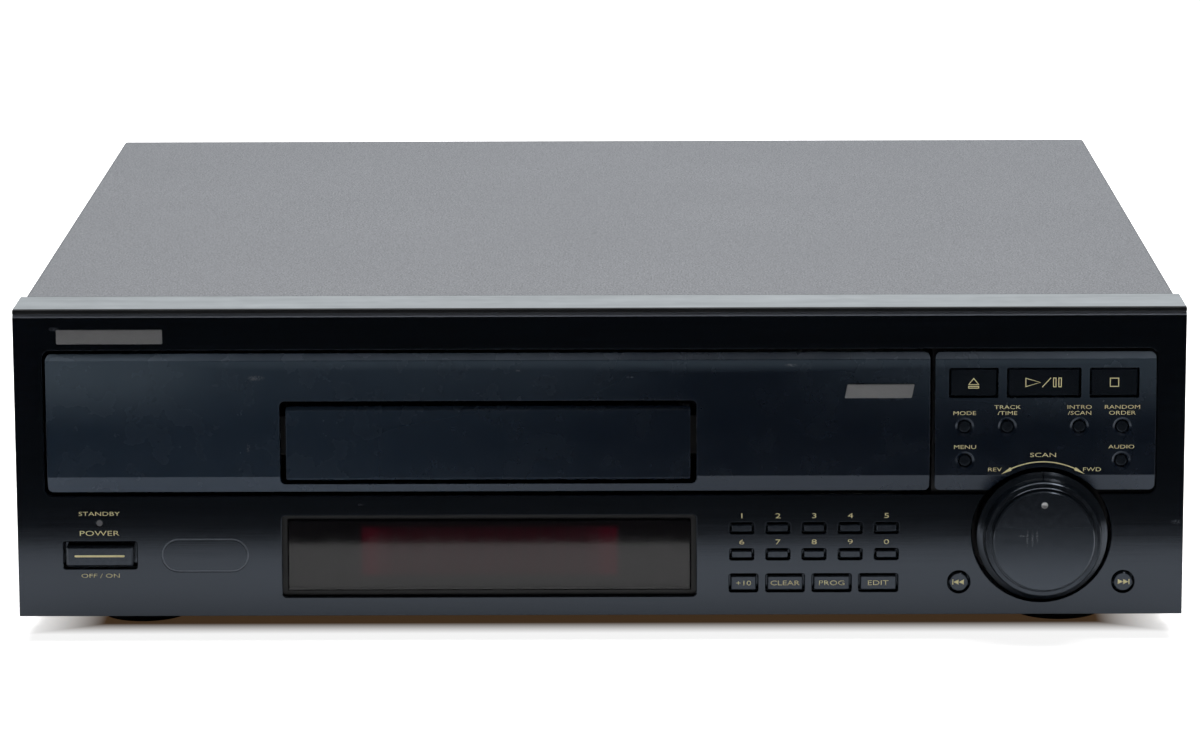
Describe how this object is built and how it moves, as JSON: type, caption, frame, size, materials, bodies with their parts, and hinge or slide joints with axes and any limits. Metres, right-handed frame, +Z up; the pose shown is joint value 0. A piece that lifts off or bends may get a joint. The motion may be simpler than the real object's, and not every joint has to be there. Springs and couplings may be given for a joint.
{
  "type": "laserdisc player",
  "caption": "Front-loading laserdisc player with nested large and small disc trays, smoked display window, push buttons and a round spring-return scan knob.",
  "frame": {"origin": "middle of the base at the level of the surface that the feet stand on; the middle in depth is of the whole object from the knob's cap to the rear jacks", "axes": "+Z up, the front panel faces -Y, +X to the right as seen from the front"},
  "size_m": [0.42, 0.428, 0.1219],
  "materials": {
    "frame_plastic": "moulded, fine texture",
    "fascia_black": "black anodised, fine horizontal hairline, glossy",
    "door_black": "satin moulded",
    "button_black": "gloss moulded",
    "knob_black": "gloss, turned rings",
    "window_smoke": "smoked acrylic",
    "lens_smoke": "clear lamp lens, unlit",
    "cover_paint": "fine textured charcoal paint",
    "chassis_zinc": "yellow passivated zinc",
    "rear_paint": "satin black paint",
    "foot_rubber": "moulded",
    "screw_black": "black oxide",
    "tray_plastic": "moulded, fine texture",
    "mechanism_plastic": "moulded",
    "bridge_steel": "zinc plated",
    "rod_steel": "ground",
    "motor_steel": "plated can",
    "turntable_black": "moulded with a rubber ring",
    "clamper_plastic": "moulded",
    "pickup_plastic": "moulded",
    "gear_plastic": "natural acetal",
    "belt_rubber": "moulded",
    "board_green": "solder mask",
    "supply_metal": "varnished laminations and cans",
    "socket_plastic": "moulded"
  },
  "bodies": {
    "cabinet": {"front_frame": "frame_plastic", "fascia_plate": "fascia_black", "control_panel": "door_black", "display_window": "window_smoke", "standby_lens": "lens_smoke", "front_board": "board_green", "top_cover": "cover_paint", "base_chassis": "chassis_zinc", "rear_panel": "rear_paint", "feet": "foot_rubber", "cover_screws": "screw_black", "loading_frame": "mechanism_plastic", "clamper_bridge": "bridge_steel", "loading_motor": "motor_steel", "drive_belt": "belt_rubber", "power_supply": "supply_metal", "main_board": "board_green", "rear_sockets": "socket_plastic", "ac_inlet": "socket_plastic"},
    "ld_tray": {"ld_tray": "tray_plastic", "ld_door": "door_black"},
    "cd_tray": {"cd_tray": "tray_plastic", "cd_door": "door_black"},
    "mechanism": {"mechanism_base": "mechanism_plastic", "mechanism_motors": "motor_steel", "guide_rods": "rod_steel"},
    "pickup": {"pickup": "pickup_plastic"},
    "turntable": {"turntable": "turntable_black"},
    "clamper": {"clamper": "clamper_plastic"},
    "scan_knob": {"scan_knob": "knob_black", "scan_knob_cap": "knob_black"},
    "loading_gear": {"loading_gear": "gear_plastic"},
    "motor_pulley": {"motor_pulley": "gear_plastic"},
    "sled_gear": {"sled_gear": "gear_plastic"},
    "power_button": {"power_button": "button_black"},
    "eject_button": {"eject_button": "button_black"},
    "play_button": {"play_button": "button_black"},
    "stop_button": {"stop_button": "button_black"},
    "direct_button": {"direct_button": "button_black"},
    "time_button": {"time_button": "button_black"},
    "intro_button": {"intro_button": "button_black"},
    "random_button": {"random_button": "button_black"},
    "system_button": {"system_button": "button_black"},
    "language_button": {"language_button": "button_black"},
    "skip_back_button": {"skip_back_button": "button_black"},
    "skip_forward_button": {"skip_forward_button": "button_black"},
    "key_1": {"key_1": "button_black"},
    "key_2": {"key_2": "button_black"},
    "key_3": {"key_3": "button_black"},
    "key_4": {"key_4": "button_black"},
    "key_5": {"key_5": "button_black"},
    "key_6": {"key_6": "button_black"},
    "key_7": {"key_7": "button_black"},
    "key_8": {"key_8": "button_black"},
    "key_9": {"key_9": "button_black"},
    "key_0": {"key_0": "button_black"},
    "key_plus_ten": {"key_plus_ten": "button_black"},
    "clear_key": {"clear_key": "button_black"},
    "program_key": {"program_key": "button_black"},
    "edit_key": {"edit_key": "button_black"}
  },
  "joints": [
    {"name": "ld_tray_slide", "type": "slide", "parent": "cabinet", "child": "ld_tray", "axis": [0, -1, 0], "range_m": [0, 0.312]},
    {"name": "cd_tray_slide", "type": "slide", "parent": "ld_tray", "child": "cd_tray", "axis": [0, -1, 0], "range_m": [0, 0.225]},
    {"name": "mechanism_lift", "type": "slide", "parent": "cabinet", "child": "mechanism", "axis": [0, 0, 1], "range_m": [0, 0.008]},
    {"name": "pickup_slide", "type": "slide", "parent": "mechanism", "child": "pickup", "axis": [0, 1, 0], "range_m": [0, 0.121]},
    {"name": "turntable_spin", "type": "hinge", "parent": "mechanism", "child": "turntable", "pos_m": [-0.04, -0.036, 0.07], "axis": [0, 0, 1], "continuous": true},
    {"name": "clamper_spin", "type": "hinge", "parent": "cabinet", "child": "clamper", "pos_m": [-0.04, -0.036, 0.09], "axis": [0, 0, 1], "continuous": true},
    {"name": "scan_knob_turn", "type": "hinge", "parent": "cabinet", "child": "scan_knob", "pos_m": [0.159, -0.201, 0.0392], "axis": [0, -1, 0], "range_deg": [-60, 60], "stiffness_Nm_per_rad": 0.02},
    {"name": "loading_gear_spin", "type": "hinge", "parent": "cabinet", "child": "loading_gear", "pos_m": [0.09425, -0.16, 0.066], "axis": [0, 0, 1], "range_deg": [-1118.27, 0]},
    {"name": "motor_pulley_spin", "type": "hinge", "parent": "cabinet", "child": "motor_pulley", "pos_m": [0.058, -0.16, 0.062], "axis": [0, 0, 1], "range_deg": [-3576.26, 0]},
    {"name": "sled_gear_spin", "type": "hinge", "parent": "mechanism", "child": "sled_gear", "pos_m": [0.00725, 0.04, 0.053], "axis": [0, 0, 1], "range_deg": [-867.6, 0]},
    {"name": "power_button_press", "type": "slide", "parent": "cabinet", "child": "power_button", "axis": [0, 1, 0], "range_m": [0, 0.0012], "stiffness_N_per_m": 350},
    {"name": "eject_button_press", "type": "slide", "parent": "cabinet", "child": "eject_button", "axis": [0, 1, 0], "range_m": [0, 0.0008], "stiffness_N_per_m": 400},
    {"name": "play_button_press", "type": "slide", "parent": "cabinet", "child": "play_button", "axis": [0, 1, 0], "range_m": [0, 0.0008], "stiffness_N_per_m": 400},
    {"name": "stop_button_press", "type": "slide", "parent": "cabinet", "child": "stop_button", "axis": [0, 1, 0], "range_m": [0, 0.0008], "stiffness_N_per_m": 400},
    {"name": "direct_button_press", "type": "slide", "parent": "cabinet", "child": "direct_button", "axis": [0, 1, 0], "range_m": [0, 0.0007], "stiffness_N_per_m": 300},
    {"name": "time_button_press", "type": "slide", "parent": "cabinet", "child": "time_button", "axis": [0, 1, 0], "range_m": [0, 0.0007], "stiffness_N_per_m": 300},
    {"name": "intro_button_press", "type": "slide", "parent": "cabinet", "child": "intro_button", "axis": [0, 1, 0], "range_m": [0, 0.0007], "stiffness_N_per_m": 300},
    {"name": "random_button_press", "type": "slide", "parent": "cabinet", "child": "random_button", "axis": [0, 1, 0], "range_m": [0, 0.0007], "stiffness_N_per_m": 300},
    {"name": "system_button_press", "type": "slide", "parent": "cabinet", "child": "system_button", "axis": [0, 1, 0], "range_m": [0, 0.0007], "stiffness_N_per_m": 300},
    {"name": "language_button_press", "type": "slide", "parent": "cabinet", "child": "language_button", "axis": [0, 1, 0], "range_m": [0, 0.0007], "stiffness_N_per_m": 300},
    {"name": "skip_back_button_press", "type": "slide", "parent": "cabinet", "child": "skip_back_button", "axis": [0, 1, 0], "range_m": [0, 0.0007], "stiffness_N_per_m": 300},
    {"name": "skip_forward_button_press", "type": "slide", "parent": "cabinet", "child": "skip_forward_button", "axis": [0, 1, 0], "range_m": [0, 0.0007], "stiffness_N_per_m": 300},
    {"name": "key_1_press", "type": "slide", "parent": "cabinet", "child": "key_1", "axis": [0, 1, 0], "range_m": [0, 0.0007], "stiffness_N_per_m": 300},
    {"name": "key_2_press", "type": "slide", "parent": "cabinet", "child": "key_2", "axis": [0, 1, 0], "range_m": [0, 0.0007], "stiffness_N_per_m": 300},
    {"name": "key_3_press", "type": "slide", "parent": "cabinet", "child": "key_3", "axis": [0, 1, 0], "range_m": [0, 0.0007], "stiffness_N_per_m": 300},
    {"name": "key_4_press", "type": "slide", "parent": "cabinet", "child": "key_4", "axis": [0, 1, 0], "range_m": [0, 0.0007], "stiffness_N_per_m": 300},
    {"name": "key_5_press", "type": "slide", "parent": "cabinet", "child": "key_5", "axis": [0, 1, 0], "range_m": [0, 0.0007], "stiffness_N_per_m": 300},
    {"name": "key_6_press", "type": "slide", "parent": "cabinet", "child": "key_6", "axis": [0, 1, 0], "range_m": [0, 0.0007], "stiffness_N_per_m": 300},
    {"name": "key_7_press", "type": "slide", "parent": "cabinet", "child": "key_7", "axis": [0, 1, 0], "range_m": [0, 0.0007], "stiffness_N_per_m": 300},
    {"name": "key_8_press", "type": "slide", "parent": "cabinet", "child": "key_8", "axis": [0, 1, 0], "range_m": [0, 0.0007], "stiffness_N_per_m": 300},
    {"name": "key_9_press", "type": "slide", "parent": "cabinet", "child": "key_9", "axis": [0, 1, 0], "range_m": [0, 0.0007], "stiffness_N_per_m": 300},
    {"name": "key_0_press", "type": "slide", "parent": "cabinet", "child": "key_0", "axis": [0, 1, 0], "range_m": [0, 0.0007], "stiffness_N_per_m": 300},
    {"name": "key_plus_ten_press", "type": "slide", "parent": "cabinet", "child": "key_plus_ten", "axis": [0, 1, 0], "range_m": [0, 0.0007], "stiffness_N_per_m": 300},
    {"name": "clear_key_press", "type": "slide", "parent": "cabinet", "child": "clear_key", "axis": [0, 1, 0], "range_m": [0, 0.0007], "stiffness_N_per_m": 300},
    {"name": "program_key_press", "type": "slide", "parent": "cabinet", "child": "program_key", "axis": [0, 1, 0], "range_m": [0, 0.0007], "stiffness_N_per_m": 300},
    {"name": "edit_key_press", "type": "slide", "parent": "cabinet", "child": "edit_key", "axis": [0, 1, 0], "range_m": [0, 0.0007], "stiffness_N_per_m": 300}
  ],
  "couplings": [
    {"joint": "loading_gear_spin", "follows": "ld_tray_slide", "rad_per_m": -62.5},
    {"joint": "motor_pulley_spin", "follows": "ld_tray_slide", "rad_per_m": -200},
    {"joint": "sled_gear_spin", "follows": "pickup_slide", "rad_per_m": -125}
  ]
}
